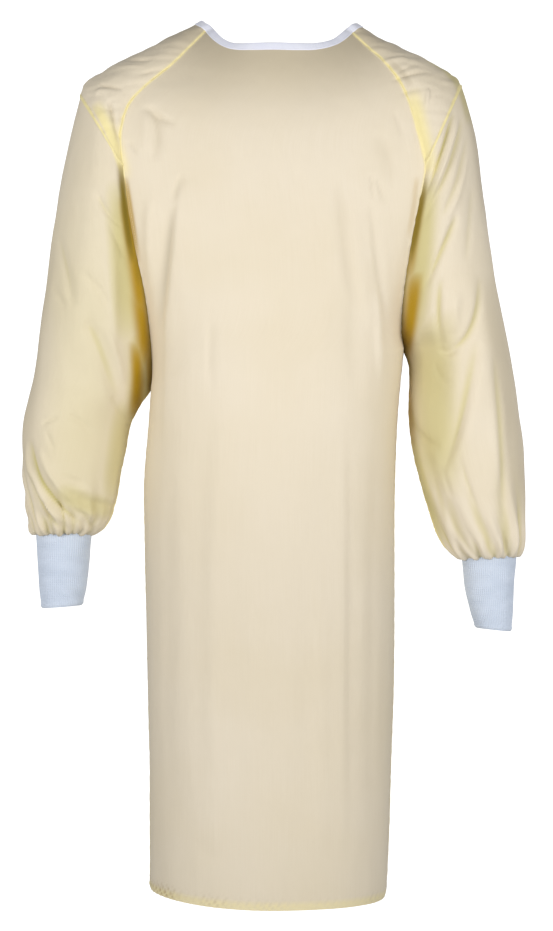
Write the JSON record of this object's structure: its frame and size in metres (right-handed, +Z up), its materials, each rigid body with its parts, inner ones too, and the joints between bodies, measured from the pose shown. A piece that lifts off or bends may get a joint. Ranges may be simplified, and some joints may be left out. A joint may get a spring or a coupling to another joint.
{
  "type": "isolation gown",
  "caption": "Reusable raglan isolation gown in pale cream woven polyester with knit cuffs and neck binding, filled out as if worn, open down the back.",
  "frame": {"origin": "middle of the neck opening at the height of the shoulder line, where the wearer's shoulders carry the gown", "axes": "+Z up, along the gown's length; the front faces -Y; +X is to the right as the front is looked at"},
  "size_m": [0.6783, 0.245, 1.1755],
  "materials": {
    "cloth": "matte",
    "knit": "matte",
    "tape": "matte",
    "snap": "satin"
  },
  "bodies": {
    "root": {"front": "cloth", "back_left": "cloth", "back_right": "cloth", "shoulder_left": "cloth", "shoulder_right": "cloth", "sleeve_left": "cloth", "sleeve_right": "cloth", "cuff_left": "knit", "cuff_right": "knit", "neck_binding": "tape", "neck_snap": "snap"}
  },
  "joints": []
}
